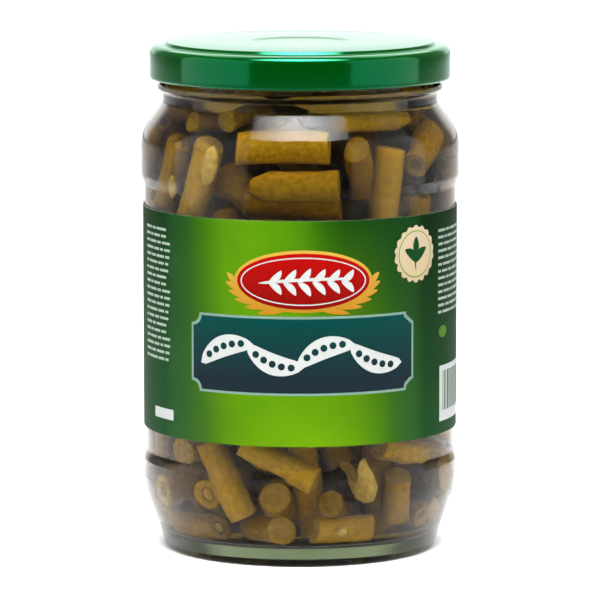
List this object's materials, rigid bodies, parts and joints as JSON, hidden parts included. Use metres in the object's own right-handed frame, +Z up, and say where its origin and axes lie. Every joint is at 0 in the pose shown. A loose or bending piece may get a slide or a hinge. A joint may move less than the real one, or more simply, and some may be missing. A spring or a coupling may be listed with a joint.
{
  "type": "jar of cut green beans",
  "caption": "Sealed clear glass jar of cut green beans in brine, with a green lacquered twist-off metal lid and a paper label round its middle, standing upright.",
  "frame": {"origin": "centre of the ring that the jar stands on, at the standing plane", "axes": "+Z up along the jar's axis, -Y towards the front of the label, +X to the viewer's right"},
  "size_m": [0.0912, 0.0912, 0.146],
  "materials": {
    "clear_glass": "clear flint glass, smooth",
    "lid_lacquer": "glossy green lacquer on tinplate",
    "liner": "soft plastisol",
    "label_paper": "satin varnished paper, green gradient",
    "brine": "clear pale brine",
    "bean_skin": "cooked olive-brown pods, wet"
  },
  "bodies": {
    "jar": {"jar_glass": "clear_glass", "label": "label_paper", "brine": "brine", "beans_01": "bean_skin", "beans_02": "bean_skin", "beans_03": "bean_skin", "beans_04": "bean_skin", "beans_05": "bean_skin", "beans_06": "bean_skin", "beans_07": "bean_skin", "beans_08": "bean_skin", "beans_09": "bean_skin", "beans_10": "bean_skin", "beans_11": "bean_skin", "beans_12": "bean_skin", "beans_13": "bean_skin", "beans_14": "bean_skin", "beans_15": "bean_skin", "beans_16": "bean_skin", "beans_17": "bean_skin", "beans_18": "bean_skin", "beans_19": "bean_skin", "beans_20": "bean_skin", "beans_21": "bean_skin", "beans_22": "bean_skin", "beans_23": "bean_skin", "beans_24": "bean_skin", "beans_25": "bean_skin", "beans_26": "bean_skin", "beans_27": "bean_skin", "beans_28": "bean_skin", "beans_29": "bean_skin", "beans_30": "bean_skin", "beans_31": "bean_skin", "beans_32": "bean_skin", "beans_33": "bean_skin", "beans_34": "bean_skin", "beans_35": "bean_skin", "beans_36": "bean_skin", "beans_37": "bean_skin", "beans_38": "bean_skin", "beans_39": "bean_skin", "beans_40": "bean_skin", "beans_41": "bean_skin", "beans_42": "bean_skin", "beans_43": "bean_skin", "beans_44": "bean_skin", "beans_45": "bean_skin", "beans_46": "bean_skin", "beans_47": "bean_skin", "beans_48": "bean_skin", "beans_49": "bean_skin", "beans_50": "bean_skin", "beans_51": "bean_skin", "beans_52": "bean_skin"},
    "lid_ring": {"lid_liner": "liner"},
    "lid": {"lid_shell": "lid_lacquer"}
  },
  "joints": [
    {"name": "lid_rise", "type": "slide", "parent": "jar", "child": "lid_ring", "axis": [0, 0, 1], "range_m": [0, 0.0012]},
    {"name": "lid_twist", "type": "hinge", "parent": "lid_ring", "child": "lid", "pos_m": [0, 0, 0.14], "axis": [0, 0, 1], "range_deg": [0, 40]}
  ],
  "couplings": [
    {"joint": "lid_rise", "follows": "lid_twist", "m_per_rad": 0.001718}
  ]
}
